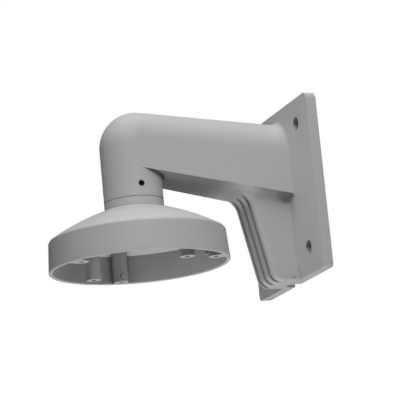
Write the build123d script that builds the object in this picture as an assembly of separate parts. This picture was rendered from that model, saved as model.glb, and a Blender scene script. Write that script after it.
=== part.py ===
from build123d import *
import math
import os

# Wall bracket for a dome camera: a hollow die-cast arm on a square wall plate, a shallow round
# mounting cap under the arm's elbow, and the set screw that locks the cap in the neck.
# Frame: X is the width, Y = 0 is the wall and the arm reaches to -Y, Z is up.
# The origin is the middle of the four wall screw holes, on the wall. All sizes are in mm.

# Width of the whole bracket: the wall plate is as wide as the cap's rim
body_w = 120.0

# Wall plate
plate_h = 118.0
plate_edge_t = 7.0
plate_top_corner_r = 5.0
plate_low_corner_r = 3.0
back_corner_r = 2.0
crown_border = 8.5
crown_rise = 0.9
cast_wall = 3.0
wall_hole_r = 4.6
wall_hole_from_side = 19.5
wall_hole_from_end = 17.25
wall_boss_t = 3.5
notch_x = -4.0
notch_r = 5.7
notch_depth = 8.3

# Arm, from the wall to the elbow
arm_wall_half_w = 25.0
arm_wall_top_gap = 8.9
arm_wall_h = 52.7
arm_tip_low_z = 18.8
arm_draft = 0.6
arm_top_slope = 5.9

# Neck and elbow
reach = 112.0
neck_r = 19.8
bend_ring_r = 4.8
bend_z = 35.9
seam_chamfer = 0.4
bore_r = 15.5

# Gusset under the arm: it flares out at the top, and has three grooves down its front
gusset_half_w = 16.0
gusset_front_y = -36.1
gusset_slope = 11.45
gusset_top_rise = 17.6
gusset_foot_r = 8.0
flare_drop = 3.6
flare_r = 12.0
flare_turn = 34.0
gusset_edge_r = 3.0
gusset_under_r = 6.0
groove_pitch = 9.9
groove_r = 2.0
groove_depth = 1.6
groove_top_r = 8.0
groove_top_turn = 65.0
groove_foot_turn = 45.0
groove_foot_lag = 0.3

# Where the arm and the gusset run into the plate
root_fillet = 3.0

# Mounting cap
rim_low_z = -43.9
rim_wall_h = 20.4
rim_draft = 1.3
lip_chamfer = 0.5
shoulder_chamfer = 0.8
dome_foot_z = -5.6
dome_bulge = 1.34
cap_wall = 2.6
spigot_h = 14.0
spigot_bore_r = 12.0
spigot_clearance = 0.15

# Screw posts inside the cap
post_r = 5.0
post_hole_r = 1.65
post_hole_depth = 12.0
ring_post_from_rim = 8.0
ring_post_angles = (-63.5, 56.5, 176.5)
pair_post_pcd = 83.4
pair_post_angles = (30.3, 210.3)
pair_post_proud = 0.9
nib_reach = 2.2
nib_w = 2.0
nib_h = 2.2
nib_rise = 2.4

# Set screw in the side of the neck
screw_r = 2.0
screw_clearance = 0.05
screw_z = 8.4
screw_recess = 0.5
screw_hex_across = 2.0
screw_hex_depth = 2.0
screw_point_r = 1.4

# Places worked out from the sizes above
plate_w = body_w
rim_r = body_w / 2
wall_hole_dx = plate_w - 2 * wall_hole_from_side
wall_hole_dz = plate_h - 2 * wall_hole_from_end
arm_wall_top_z = plate_h / 2 - arm_wall_top_gap
arm_wall_low_z = arm_wall_top_z - arm_wall_h
gusset_top_z = arm_wall_low_z + gusset_top_rise
flare_low_z = arm_wall_low_z - flare_drop
ring_post_pcd = 2 * (rim_r - ring_post_from_rim)
plate_t = plate_edge_t + crown_rise
plate_low_z = -plate_h / 2
field_top_z = plate_h / 2 - crown_border
root_y = -plate_edge_t / 2
tilt = math.radians(arm_top_slope)
gusset_angle = math.radians(gusset_slope)
neck_wall = neck_r - bore_r
spigot_r = bore_r - spigot_clearance
shoulder_r = rim_r - rim_draft
shoulder_z = rim_low_z + rim_wall_h
dome_angle = math.atan2(dome_foot_z - shoulder_z, shoulder_r - neck_r)
gusset_down = Vector(0, math.sin(gusset_angle), -math.cos(gusset_angle))
gusset_out = Vector(0, -math.cos(gusset_angle), -math.sin(gusset_angle))


def along_arc(start, run, side, radius, turn):
    """Point on an arc that leaves its start in one direction and bends to one side."""
    return start + (run * math.sin(turn) + side * (1 - math.cos(turn))) * radius


def wall_plane(y):
    """Upright plane parallel to the wall, with sketches seen from the room."""
    return Plane.XZ.offset(-y)


def plate_outline(border):
    """Outline of the plate, or of its raised field when inset by a border."""
    outline = Rectangle(plate_w - 2 * border, plate_h - 2 * border)
    corners = outline.vertices().group_by(Axis.Y)
    outline = fillet(corners[-1], plate_top_corner_r)
    low_corners = outline.vertices().group_by(Axis.Y)[0]
    return fillet(low_corners, plate_low_corner_r)


def wall_hole_rods(radius):
    """Rods on the four wall screw holes, from the wall through the plate."""
    places = GridLocations(wall_hole_dx, wall_hole_dz, 2, 2)
    return [extrude(wall_plane(0) * place * Circle(radius), amount=plate_t) for place in places]


def plate_form():
    """Wall plate: straight edges and a softly raised field."""
    edge = extrude(wall_plane(0) * plate_outline(0), amount=plate_edge_t)
    foot = wall_plane(-plate_edge_t) * plate_outline(0)
    field = wall_plane(-plate_t) * plate_outline(crown_border)
    return edge + loft([foot, field], ruled=True)


def arch(half_w, low, centre, foot_half_w):
    """Upside-down U: two sides on a flat foot, closed by a half circle."""
    left_foot = (-foot_half_w, low)
    right_foot = (foot_half_w, low)
    left = (-half_w, centre)
    right = (half_w, centre)
    sides = [Line(left_foot, right_foot), Line(right_foot, right), Line(left, left_foot)]
    crown = ThreePointArc(right, (0, centre + half_w), left)
    return make_face(sides + [crown])


def bend_plane():
    """Section plane at the end of the bend, square to the arm's top line."""
    centre = (0, bend_ring_r - reach, bend_z)
    return Plane(origin=centre, x_dir=(1, 0, 0), z_dir=(0, -math.cos(tilt), math.sin(tilt)))


def arm_form(tip_inset, wall_inset):
    """The arm between the bend and the plate, or its duct when inset by the wall thickness."""
    tip_half_w = neck_r - tip_inset
    tip_low = (arm_tip_low_z - bend_z) / math.cos(tilt) + tip_inset
    at_bend = bend_plane() * arch(tip_half_w, tip_low, bend_ring_r, tip_half_w)
    foot_half_w = arm_wall_half_w - wall_inset
    centre = arm_wall_top_z - arm_wall_half_w + arm_draft
    low = arm_wall_low_z + wall_inset
    at_wall = wall_plane(root_y) * arch(foot_half_w - arm_draft, low, centre, foot_half_w)
    return loft([at_bend, at_wall], ruled=True)


def bend_form(inset):
    """The elbow: the top of the arch turned about a level line, from the arm to the neck."""
    half_w = neck_r - inset
    section = bend_plane() * arch(half_w, 0, bend_ring_r, half_w)
    turning_line = Axis((0, bend_ring_r - reach, bend_z), (1, 0, 0))
    return revolve(section, turning_line, 90 + arm_top_slope)


def cheek_form(inset):
    """The arm's side walls carried on from the bend to the axis of the neck."""
    low = arm_tip_low_z + inset
    middle = (0, bend_ring_r / 2 - reach, (low + bend_z) / 2)
    return Pos(middle) * Box(2 * (neck_r - inset), bend_ring_r, bend_z - low)


def neck_form(radius):
    """Upright round about the axis of the cap, from the seam to the bend."""
    return Pos(0, -reach, 0) * extrude(Circle(radius), amount=bend_z)


def front_at(z, inset):
    """Point on the gusset's slanted front line at a height, seen from the side."""
    return Vector(0, gusset_front_y + inset / math.cos(gusset_angle) - math.tan(gusset_angle) * z, z)


def gusset_side(front_line, inset):
    """Side view of the web, closed behind its front line, with a rounded foot."""
    low = plate_low_z + inset
    corner = front_line[-1] @ 1
    back = Polyline(corner, (0, root_y, low), (0, root_y, gusset_top_z), front_line[0] @ 0)
    side = make_face(front_line + [back])
    foot = side.vertices().sort_by_distance(corner)[0]
    return fillet(foot, gusset_foot_r - inset)


def flared_front():
    """Front line of the web from the top: out of the flare, then straight down to the foot."""
    low = front_at(flare_low_z, 0)
    turn = math.radians(flare_turn)
    arc_top = along_arc(low, -gusset_down, gusset_out, flare_r, turn)
    arc_mid = along_arc(low, -gusset_down, gusset_out, flare_r, turn / 2)
    run = -gusset_down * math.cos(turn) + gusset_out * math.sin(turn)
    top = arc_top + run * (gusset_top_z - arc_top.Z) / run.Z
    flare = ThreePointArc(arc_top, arc_mid, low)
    return [Line(top, arc_top), flare, Line(low, front_at(plate_low_z, 0))]


def gusset_hollow():
    """Room inside the web, with a straight front."""
    front_line = [Line(front_at(gusset_top_z, cast_wall), front_at(plate_low_z + cast_wall, cast_wall))]
    return extrude(gusset_side(front_line, cast_wall), amount=gusset_half_w - cast_wall, both=True)


def rounded_gusset():
    """The web with the edges of its front rounded."""
    web = extrude(gusset_side(flared_front(), 0), amount=gusset_half_w, both=True)
    edges = [
        edge
        for edge in web.edges()
        if abs(abs(edge.center().X) - gusset_half_w) < 0.01
        and edge.center().Y < root_y - gusset_edge_r
        and edge.center().Z < gusset_top_z - 1
    ]
    return fillet(edges, gusset_edge_r)


def groove_path(x):
    """Middle line of one groove: out of the flare, down the front, and round the foot."""
    sink = groove_r - groove_depth
    top = Vector(x, 0, 0) + front_at(flare_low_z, 0) + gusset_out * sink
    foot_turn_z = plate_low_z + gusset_foot_r * (1 - math.sin(gusset_angle)) - groove_foot_lag
    foot = Vector(x, 0, 0) + front_at(foot_turn_z, 0) + gusset_out * sink
    turn = math.radians(groove_top_turn)
    top_end = along_arc(top, -gusset_down, gusset_out, groove_top_r, turn)
    top_mid = along_arc(top, -gusset_down, gusset_out, groove_top_r, turn / 2)
    turn = math.radians(groove_foot_turn)
    foot_r = gusset_foot_r + sink
    foot_end = along_arc(foot, gusset_down, -gusset_out, foot_r, turn)
    foot_mid = along_arc(foot, gusset_down, -gusset_out, foot_r, turn / 2)
    fade = foot_end + (gusset_down * math.cos(turn) - gusset_out * math.sin(turn)) * foot_r
    upper = ThreePointArc(top_end, top_mid, top)
    lower = ThreePointArc(foot, foot_mid, foot_end)
    return Wire([upper, Line(top, foot), lower, Line(foot_end, fade)])


def groove_form(x):
    """One half-round groove, ready to be cut from the front of the gusset."""
    path = groove_path(x)
    start = Plane(origin=path @ 0, z_dir=path % 0)
    return sweep(start * Circle(groove_r), path=path)


def web_and_arm():
    """Arm and gusset as one form, with the fillet between them and the three grooves."""
    arm = arm_form(0, 0)
    underside = arm.faces().sort_by(Axis.Z)[0]
    both = arm + rounded_gusset()
    under = [
        edge
        for edge in both.edges()
        if underside.distance_to(edge.center()) < 0.01
        and abs(edge.center().X) < gusset_half_w + 0.01
        and edge.center().Y < root_y - 1
        and edge.center().Y > neck_r - reach
    ]
    both = fillet(under, gusset_under_r)
    for x in (-groove_pitch, 0, groove_pitch):
        both -= groove_form(x)
    return both


def bracket_outside():
    """The whole skin of the bracket, with its roots on the plate filleted, before hollowing."""
    body = plate_form() + web_and_arm()
    roots = [
        edge
        for edge in body.edges()
        if -plate_t - 0.01 < edge.center().Y < -plate_edge_t
        and abs(edge.center().X) < arm_wall_half_w
        and abs(edge.center().Z - field_top_z) > 0.01
        and plate_low_z + 0.5 < edge.center().Z
    ]
    body = fillet(roots, root_fillet)
    neck = neck_form(neck_r)
    neck = chamfer(neck.edges().sort_by(Axis.Z)[0], seam_chamfer)
    return body + bend_form(0) + cheek_form(0) + neck


def bracket_hollows():
    """The cored inside of the bracket: neck, elbow, duct, gusset and the back of the plate."""
    shallow = plate_t - cast_wall
    inside = RectangleRounded(plate_w - 2 * cast_wall, plate_h - 2 * cast_wall, back_corner_r)
    back = extrude(wall_plane(0) * inside, amount=shallow)
    for boss in wall_hole_rods(wall_hole_r + wall_boss_t):
        back -= boss
    duct = arm_form(neck_wall, cast_wall)
    elbow = bend_form(neck_wall) + cheek_form(neck_wall) + neck_form(bore_r)
    return [back, duct, elbow, gusset_hollow()]


def cable_notch():
    """Round-ended slot in the bracket's lower edge for a cable that runs down the wall."""
    end = Pos(notch_x, notch_r - notch_depth) * Circle(notch_r)
    sides = Pos(notch_x, 0) * Rectangle(2 * notch_r, 2 * (notch_depth - notch_r))
    return Pos(0, 0, plate_low_z) * extrude(end + sides, amount=2 * cast_wall, both=True)


def screw_place(x):
    """Place on the set screw's axis, turned so that its own Z runs out of the neck."""
    return Pos(x, -reach, screw_z) * Rot(0, 90, 0)


def make_arm_bracket():
    """Die-cast bracket: plate, gusset, arm, elbow and neck in one piece."""
    body = bracket_outside()
    for hollow in bracket_hollows():
        body -= hollow
    body -= cable_notch()
    for hole in wall_hole_rods(wall_hole_r):
        body -= hole
    tapped = extrude(Circle(screw_r + screw_clearance), amount=neck_r)
    return body - screw_place(bore_r / 2) * tapped


def cap_outline():
    """Half of the cap's outer section: collar, dome and wall."""
    foot = (neck_r, dome_foot_z)
    shoulder = (shoulder_r, shoulder_z)
    dome = SagittaArc(foot, shoulder, dome_bulge)
    lower = Polyline(shoulder, (rim_r, rim_low_z), (0, rim_low_z), (0, 0), (neck_r, 0), foot)
    return make_face([dome, lower])


def cap_inside(wall, low):
    """Half of the section of the room under a wall, with the cable hole up through the spigot."""
    drop = wall / math.cos(dome_angle)
    foot = (neck_r, dome_foot_z - drop)
    shoulder = (shoulder_r - wall, shoulder_z - drop + wall * math.tan(dome_angle))
    dome = SagittaArc(foot, shoulder, dome_bulge)
    lower = Polyline(shoulder, (rim_r - wall, low), (0, low), (0, spigot_h))
    upper = Polyline((0, spigot_h), (spigot_bore_r, spigot_h), (spigot_bore_r, foot[1]), foot)
    return make_face([dome, lower, upper])


def turned(section):
    """A half section turned about the axis of the cap."""
    return Pos(0, -reach, 0) * revolve(Plane.XZ * section, Axis.Z)


def cap_shell():
    """Collar, dome and wall of the cap, with the spigot that stands up in the neck."""
    spigot = Pos(spigot_r / 2, spigot_h / 2) * Rectangle(spigot_r, spigot_h)
    section = cap_outline() + spigot - cap_inside(cap_wall, rim_low_z)

    def corner(r, z):
        return section.vertices().sort_by_distance((r, z, 0))[0]

    section = chamfer([corner(rim_r, rim_low_z), corner(rim_r - cap_wall, rim_low_z)], lip_chamfer)
    section = chamfer(corner(shoulder_r, shoulder_z), shoulder_chamfer)
    section = chamfer(corner(neck_r, 0), seam_chamfer)
    section = chamfer(corner(spigot_r, spigot_h), seam_chamfer)
    return turned(section)


def post_place(pcd, angle):
    """Place of a post on its circle, at the level of the rim, with its own X pointing outwards."""
    return Pos(0, -reach, rim_low_z) * Rot(0, 0, angle) * Pos(pcd / 2, 0, 0)


def ring_post():
    """Post against the wall of the cap: round, with a web to the wall and a nib inwards."""
    height = -rim_low_z
    web_l = ring_post_from_rim
    nib = Box(nib_reach + 1, nib_w, nib_h, align=(Align.MIN, Align.CENTER, Align.MIN))
    web = Box(web_l, 2 * post_r, height, align=(Align.MIN, Align.CENTER, Align.MIN))
    return extrude(Circle(post_r), amount=height) + web + Pos(-post_r - nib_reach, 0, nib_rise) * nib


def pair_post():
    """Free-standing post that ends a little below the rim."""
    return Pos(0, 0, -pair_post_proud) * extrude(Circle(post_r), amount=-rim_low_z)


def post_hole(low):
    """Tapped hole up into a post from its end."""
    return Pos(0, 0, low) * extrude(Circle(post_hole_r), amount=post_hole_depth)


def make_mounting_cap():
    """Die-cast cap: shell with spigot, three posts on the wall and two free-standing ones."""
    cap = cap_shell()
    room = turned(cap_inside(cap_wall / 2, rim_low_z - pair_post_proud))
    for angle in ring_post_angles:
        cap += post_place(ring_post_pcd, angle) * ring_post() & room
    for angle in pair_post_angles:
        cap += post_place(pair_post_pcd, angle) * pair_post() & room
    for angle in ring_post_angles:
        cap -= post_place(ring_post_pcd, angle) * post_hole(0)
    for angle in pair_post_angles:
        cap -= post_place(pair_post_pcd, angle) * post_hole(-pair_post_proud)
    return cap


def make_set_screw():
    """Short headless screw with a hexagon socket, from the neck's side to the spigot."""
    length = neck_r - screw_recess - spigot_r
    body = extrude(Circle(screw_r), amount=length)
    body = chamfer(body.edges().sort_by(Axis.Z)[0], screw_r - screw_point_r)
    socket = RegularPolygon(screw_hex_across / 2, 6, major_radius=False)
    body -= Pos(0, 0, length - screw_hex_depth) * extrude(socket, amount=screw_hex_depth)
    return screw_place(spigot_r) * body


def write_parts():
    """Build every piece and write it as a STEP file of its own."""
    os.makedirs("parts", exist_ok=True)
    pieces = {
        "arm_bracket": make_arm_bracket(),
        "mounting_cap": make_mounting_cap(),
        "set_screw": make_set_screw(),
    }
    for name, piece in pieces.items():
        print(name, round(piece.volume), piece.is_valid, len(piece.solids()), piece.bounding_box())
        export_step(piece, "parts/" + name + ".step")


write_parts()
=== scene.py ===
import math
import bmesh
import bpy
from mathutils import Matrix, Vector


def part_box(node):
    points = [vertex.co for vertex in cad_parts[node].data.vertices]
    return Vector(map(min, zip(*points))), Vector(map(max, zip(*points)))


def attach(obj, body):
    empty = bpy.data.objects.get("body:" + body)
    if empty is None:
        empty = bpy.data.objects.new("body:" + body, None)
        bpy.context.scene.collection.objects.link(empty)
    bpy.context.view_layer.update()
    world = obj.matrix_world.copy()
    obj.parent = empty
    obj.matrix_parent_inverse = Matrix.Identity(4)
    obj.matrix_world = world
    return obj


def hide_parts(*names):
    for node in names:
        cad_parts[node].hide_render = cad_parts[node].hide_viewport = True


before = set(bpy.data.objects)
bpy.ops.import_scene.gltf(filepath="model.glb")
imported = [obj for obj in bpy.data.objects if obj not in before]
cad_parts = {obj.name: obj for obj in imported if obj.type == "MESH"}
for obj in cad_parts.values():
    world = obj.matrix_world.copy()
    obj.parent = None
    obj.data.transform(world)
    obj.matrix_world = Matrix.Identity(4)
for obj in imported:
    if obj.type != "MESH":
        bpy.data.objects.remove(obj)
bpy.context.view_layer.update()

# Arm bracket: the die casting with wall plate, gusset, arm, elbow and neck. Aluminium, blasted and
# then powder coated in a matte light grey all over, which leaves a very fine orange peel.

coat_light = (0.65, 0.65, 0.646)
# Darker tone that both the coat's clouding and the painted shade in recesses blend toward
coat_cloud_and_painted_shade = (0.2, 0.2, 0.2)
coat_clouding = 0.08
cloud_size = 0.035
speckle_size = 0.0006
peel_size = 0.0011
peel_depth = 0.00005
edge_softness = 0.0004

# How far the painted shade looks for other faces, and how open a place may be to count as a shaded
# recess
room_reach = 0.03
room_openness = 0.95
room_steepness = 6
corner_reach = 0.012
corner_openness = 0.94
groove_reach = 0.004
groove_openness = 0.88
hole_reach = 0.012
hole_openness = 0.5
limit_blend = 0.002


class Shade:
    """A shader socket that takes part in sums, so that a mask can be written as a formula."""

    def __init__(self, coat, socket):
        self.coat = coat
        self.socket = socket

    def maths(self, operation, first, second):
        node = self.coat.node("ShaderNodeMath", {"operation": operation}, {0: first, 1: second})
        return Shade(self.coat, node.outputs[0])

    def __add__(self, other):
        return self.maths("ADD", self, other)

    def __radd__(self, other):
        return self.maths("ADD", other, self)

    def __sub__(self, other):
        return self.maths("SUBTRACT", self, other)

    def __rsub__(self, other):
        return self.maths("SUBTRACT", other, self)

    def __mul__(self, other):
        return self.maths("MULTIPLY", self, other)

    def __rmul__(self, other):
        return self.maths("MULTIPLY", other, self)

    def clipped(self):
        return self.maths("MINIMUM", self.maths("MAXIMUM", self, 0.0), 1.0)


class Finish:
    """One surface finish: a material, its shader and the nodes that vary it."""

    def __init__(self, name, colour, metallic, roughness):
        self.material = bpy.data.materials.new(name)
        self.material.use_nodes = True
        self.tree = self.material.node_tree
        self.shader = self.tree.nodes["Principled BSDF"]
        self.shader.inputs["Base Color"].default_value = (*colour, 1)
        self.shader.inputs["Metallic"].default_value = metallic
        self.shader.inputs["Roughness"].default_value = roughness
        self.place = self.node("ShaderNodeTexCoord", {}, {}).outputs["Object"]

    def node(self, kind, settings, sockets):
        node = self.tree.nodes.new(kind)
        for name, value in settings.items():
            if name == "stops":
                ramp = node.color_ramp
                for index, (at, grey) in enumerate(value):
                    stop = ramp.elements[index] if index < 2 else ramp.elements.new(at)
                    stop.position = at
                    stop.color = (grey, grey, grey, 1)
            else:
                setattr(node, name, value)
        for name, value in sockets.items():
            if isinstance(value, Shade):
                value = value.socket
            if isinstance(value, bpy.types.NodeSocket):
                self.tree.links.new(value, node.inputs[name])
            else:
                node.inputs[name].default_value = value
        return node

    def noise(self, size, detail):
        """Noise from about 0.3 to 0.7, with lumps of the given size in metres."""
        sockets = {"Vector": self.place, "Scale": 1 / size, "Detail": detail, "Roughness": 0.5}
        return Shade(self, self.node("ShaderNodeTexNoise", {}, sockets).outputs[0])

    def recess(self, reach, openness):
        """0 where at least the given share of the sky is free within the reach, to 1 where none is."""
        sky = self.node("ShaderNodeAmbientOcclusion", {"samples": 16}, {"Distance": reach})
        return ((openness - Shade(self, sky.outputs["AO"])) * (1 / openness)).clipped()

    def facing_up(self):
        """From -1 on faces that look down to 1 on faces that look up."""
        normal = self.node("ShaderNodeTexCoord", {}, {}).outputs["Normal"]
        parts = self.node("ShaderNodeSeparateXYZ", {}, {0: normal})
        return Shade(self, parts.outputs["Z"])

    def past(self, axis, start, way):
        """0 up to a place on an axis, in metres, and 1 soon past it; way is 1 or -1."""
        parts = self.node("ShaderNodeSeparateXYZ", {}, {0: self.place})
        return ((Shade(self, parts.outputs[axis]) - start) * (way / limit_blend)).clipped()

    def drive(self, socket, value):
        self.tree.links.new(value.socket, self.shader.inputs[socket])

    def tint(self, first, second, amount):
        """Base colour from a first colour, at an amount of 0, to a second one."""
        settings = {"data_type": "RGBA"}
        sockets = {0: amount, 6: (*first, 1), 7: (*second, 1)}
        mix = self.node("ShaderNodeMix", settings, sockets)
        self.drive("Base Color", Shade(self, mix.outputs[2]))

    def relief(self, height, depth):
        """Fine relief, with the given depth in metres for a height of 1, and edges a little rounded."""
        edges = self.node("ShaderNodeBevel", {"samples": 8}, {"Radius": edge_softness})
        sockets = {"Height": height, "Strength": 1.0, "Distance": depth, "Normal": edges.outputs[0]}
        bump = self.node("ShaderNodeBump", {}, sockets)
        self.drive("Normal", Shade(self, bump.outputs[0]))


def powder_coat(name, tilt, level, room_shade, corner_shade, groove_shade, hole_shade, limit):
    """Matte powder coat: faint clouding, fine speckle, and orange peel about 1 mm across.

    Shade is painted into the colour in rooms, corners, grooves and holes, by the amounts given:
    the coat is darker where nearby faces block the sky. Painted shade in rooms and corners counts
    only past a limit on one axis, and where their faces look down, for a tilt below 0, or sideways
    and up, for one above 0.
    """
    coat = Finish(name, coat_light, 0.0, 0.55)
    clouds = coat.noise(cloud_size, 2)
    speckle = coat.noise(speckle_size, 1)
    peel = coat.noise(peel_size, 2)
    wear = clouds * 0.6 + speckle * 1.6 - 0.6
    # Painted shade: darker coat in rooms, corners, grooves and holes, where nearby faces block the sky
    shaded_facing = (coat.facing_up() * tilt + level).clipped()
    painted_room_shade = (coat.recess(room_reach, room_openness) * room_steepness).clipped() * room_shade
    painted_corner_shade = coat.recess(corner_reach, corner_openness) * corner_shade
    painted_groove_shade = coat.recess(groove_reach, groove_openness) * groove_shade
    painted_hole_shade = coat.recess(hole_reach, hole_openness) * hole_shade
    painted_shade = (painted_room_shade + painted_corner_shade) * shaded_facing * coat.past(*limit) + painted_groove_shade + painted_hole_shade
    coat.tint(coat_light, coat_cloud_and_painted_shade, (wear * coat_clouding + painted_shade).clipped())
    coat.drive("Roughness", 0.46 + speckle * 0.14 + clouds * 0.06)
    coat.relief(peel + speckle * 0.35, peel_depth)
    coat.shader.inputs["Specular IOR Level"].default_value = 0.4
    return coat


def dress(name, finish):
    """Gives a CAD node one finish all over."""
    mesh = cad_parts[name].data
    mesh.materials.clear()
    mesh.materials.append(finish.material)


# Painted shade on the bracket: darker coat in downward-facing fillets and corners near the wall plate,
# and in its grooves and holes
bracket_coat = powder_coat(
    "arm_bracket_powder_coat",
    tilt=-1.5,
    level=0,
    room_shade=0.05,
    corner_shade=6,
    groove_shade=3.4,
    hole_shade=5,
    limit=("Y", -0.075, 1),
)
dress("arm_bracket", bracket_coat)

# Mounting cap: the second die casting, a shallow dome with an open rim and screw posts inside.
# The same coat as the bracket; it plugs into the neck with a spigot.

# Painted shade on the cap: darker coat on the upright walls and posts inside it, and in its grooves
cap_coat = powder_coat(
    "mounting_cap_powder_coat",
    tilt=1.5,
    level=1,
    room_shade=0.45,
    corner_shade=0.5,
    groove_shade=0.8,
    hole_shade=0,
    limit=("Z", -0.008, -1),
)
dress("mounting_cap", cap_coat)

# Set screw: a headless hexagon-socket screw in blackened steel, turned and thread-rolled. It is
# driven into the neck from its side until its point bears on the cap's spigot.

screw_low, screw_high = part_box("set_screw")
screw_middle = (screw_low + screw_high) / 2
screw_start = Vector((screw_low.x, screw_middle.y, screw_middle.z))
screw_r = (screw_high.z - screw_low.z) / 2
screw_length = screw_high.x - screw_low.x
thread_pitch = 0.0007
thread_depth = 0.00036
point_r = 0.0014
point_cup = 0.0004
socket_half_flat = 0.001
socket_depth = 0.002
mouth_r = 0.00135
mouth_chamfer = 0.0002
turning_steps = 64
weld_distance = 0.000001

black_steel = Finish("blackened_steel", (0.03, 0.03, 0.032), 0.9, 0.38)
black_steel.drive("Roughness", 0.3 + black_steel.noise(0.0002, 2) * 0.25)
dress("set_screw", black_steel)


def thread_profile():
    """Half section along the axis, from the cup point's middle to the socket's mouth."""
    core_r = screw_r - thread_depth
    point_length = core_r - point_r
    profile = [(0, point_cup), (point_r - point_cup, 0), (point_r, 0), (core_r, point_length)]
    along = point_length + thread_pitch / 2
    while along + thread_pitch < screw_length - mouth_chamfer:
        for radius, step in ((core_r, 0.1), (screw_r, 0.44), (screw_r, 0.56), (core_r, 0.9)):
            profile.append((radius, along + thread_pitch * step))
        along += thread_pitch
    profile.append((screw_r, screw_length - 2 * mouth_chamfer))
    profile.append((screw_r - mouth_chamfer, screw_length))
    profile.append((mouth_r, screw_length))
    return profile


def turn_profile(mesh, profile):
    """Spins a half section once round Z, and returns the edges of its open end."""
    verts = [mesh.verts.new((radius, 0, along)) for radius, along in profile]
    edges = [mesh.edges.new(pair) for pair in zip(verts, verts[1:])]
    bmesh.ops.spin(
        mesh,
        geom=verts + edges,
        cent=(0, 0, 0),
        axis=(0, 0, 1),
        angle=2 * math.pi,
        steps=turning_steps,
        use_merge=True,
    )
    bmesh.ops.remove_doubles(mesh, verts=mesh.verts, dist=weld_distance)
    return [edge for edge in mesh.edges if edge.is_boundary]


def sink_socket(mesh, mouth):
    """Hexagon socket with a conical end, joined to the mouth."""
    corner_r = socket_half_flat / math.cos(math.pi / 6)
    hexagon = bmesh.ops.create_circle(mesh, segments=6, radius=corner_r)["verts"]
    bmesh.ops.translate(mesh, vec=(0, 0, screw_length - mouth_chamfer), verts=hexagon)
    rim = [edge for edge in mesh.edges if edge.verts[0] in hexagon and edge.verts[1] in hexagon]
    bmesh.ops.bridge_loops(mesh, edges=mouth + rim)
    for sink, narrowing in ((socket_depth - mouth_chamfer, 1), (corner_r * 0.5, 0)):
        walls = bmesh.ops.extrude_edge_only(mesh, edges=rim)["geom"]
        foot = [part for part in walls if isinstance(part, bmesh.types.BMVert)]
        bmesh.ops.translate(mesh, vec=(0, 0, -sink), verts=foot)
        bmesh.ops.scale(mesh, vec=(narrowing, narrowing, 1), verts=foot)
        rim = [part for part in walls if isinstance(part, bmesh.types.BMEdge) and part.is_boundary]


def add_set_screw():
    """The screw with its thread and socket, in place of the plain CAD solid."""
    mesh = bmesh.new()
    sink_socket(mesh, turn_profile(mesh, thread_profile()))
    bmesh.ops.remove_doubles(mesh, verts=mesh.verts, dist=weld_distance)
    bmesh.ops.recalc_face_normals(mesh, faces=mesh.faces)
    quarter_turn = Matrix.Rotation(math.pi / 2, 3, "Y")
    bmesh.ops.rotate(mesh, cent=(0, 0, 0), matrix=quarter_turn, verts=mesh.verts)
    bmesh.ops.translate(mesh, vec=screw_start, verts=mesh.verts)
    data = bpy.data.meshes.new("threaded_set_screw")
    mesh.to_mesh(data)
    mesh.free()
    data.materials.append(black_steel.material)
    screw = bpy.data.objects.new("threaded_set_screw", data)
    bpy.context.scene.collection.objects.link(screw)
    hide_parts("set_screw")
    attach(screw, "root")


add_set_screw()

# Studio: a plain pale floor well below the bracket, a white backdrop, and soft light from above,
# from the front, from the near side and from below, as in a product photograph.

floor_z = -0.75
floor_size = 6.0
pale_floor = Finish("pale_floor", (0.8, 0.8, 0.8), 0.0, 0.8)

floor = bmesh.new()
bmesh.ops.create_grid(floor, x_segments=1, y_segments=1, size=floor_size / 2)
bmesh.ops.translate(floor, vec=(0, 0, floor_z), verts=floor.verts)
floor_mesh = bpy.data.meshes.new("floor")
floor.to_mesh(floor_mesh)
floor.free()
floor_mesh.materials.append(pale_floor.material)
floor_object = bpy.data.objects.new("floor", floor_mesh)
bpy.context.scene.collection.objects.link(floor_object)


def soft_light(name, place, size, power):
    """A square soft box that shines from its place to the middle of the bracket."""
    lamp = bpy.data.lights.new(name, "AREA")
    lamp.shape = "SQUARE"
    lamp.size = size
    lamp.energy = power
    box = bpy.data.objects.new(name, lamp)
    box.location = place
    aim = lit_middle - Vector(place)
    box.rotation_euler = aim.to_track_quat("-Z", "Y").to_euler()
    box.visible_camera = False
    bpy.context.scene.collection.objects.link(box)


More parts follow.
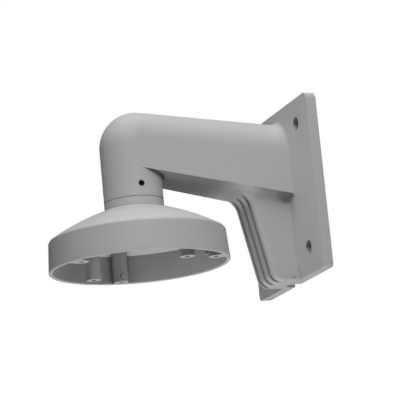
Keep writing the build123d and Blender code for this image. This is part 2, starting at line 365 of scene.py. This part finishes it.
lit_middle = Vector((0, -0.07, 0))
soft_light("top_light", (0.0, -0.1, 1.4), 1.4, 12.4)
soft_light("key_light", (1.2, -0.1, 1.1), 1.0, 3.7)
soft_light("front_light", (0.0, -1.3, 1.1), 1.0, 2.0)
soft_light("back_light", (1.2, 0.9, 0.2), 1.0, 2.0)
soft_light("near_side_light", (0.5, -0.22, 0.08), 0.25, 0.49)
soft_light("near_high_light", (0.35, -0.3, 0.45), 0.25, 0.43)
soft_light("low_light", (0.0, -0.1, -0.7), 0.5, 0.56)
soft_light("cap_light", (0.0, -0.112, -0.4), 0.15, 0.41)

# The air gives a weak even fill, and the camera alone sees it as a white backdrop
world = bpy.data.worlds.new("studio_air")
bpy.context.scene.world = world
world.use_nodes = True
air = world.node_tree
fill = air.nodes["Background"]
backdrop = air.nodes.new("ShaderNodeBackground")
for light, strength in ((fill, 0.012), (backdrop, 1.0)):
    light.inputs["Color"].default_value = (1, 1, 1, 1)
    light.inputs["Strength"].default_value = strength
seen = air.nodes.new("ShaderNodeLightPath")
either = air.nodes.new("ShaderNodeMixShader")
air.links.new(seen.outputs["Is Camera Ray"], either.inputs[0])
air.links.new(fill.outputs[0], either.inputs[1])
air.links.new(backdrop.outputs[0], either.inputs[2])
air.links.new(either.outputs[0], air.nodes["World Output"].inputs["Surface"])
bpy.context.scene.view_settings.view_transform = "Standard"

# Camera: below the bracket and to its side, as the photograph was taken, with a long lens.

azimuth = math.radians(70.08)
elevation = math.radians(-12.09)
roll = math.radians(-5.54)
camera_place = Vector((1.43865, -0.58697, -0.32719))
focal_px = 2344.09
photo_px = 400

back = Vector(
    (
        math.sin(azimuth) * math.cos(elevation),
        -math.cos(azimuth) * math.cos(elevation),
        math.sin(elevation),
    )
)
right = (-back).cross(Vector((0, 0, 1))).normalized()
up = right.cross(-back)
turned_right = right * math.cos(roll) + up * math.sin(roll)
turned_up = up * math.cos(roll) - right * math.sin(roll)
lens = bpy.data.cameras.new("camera")
lens.sensor_width = 36
lens.lens = lens.sensor_width * focal_px / photo_px
lens.clip_start = 0.05
lens.clip_end = 50
camera = bpy.data.objects.new("camera", lens)
turn = Matrix((turned_right, turned_up, back)).transposed()
camera.matrix_world = Matrix.Translation(camera_place) @ turn.to_4x4()
bpy.context.scene.collection.objects.link(camera)
bpy.context.scene.camera = camera
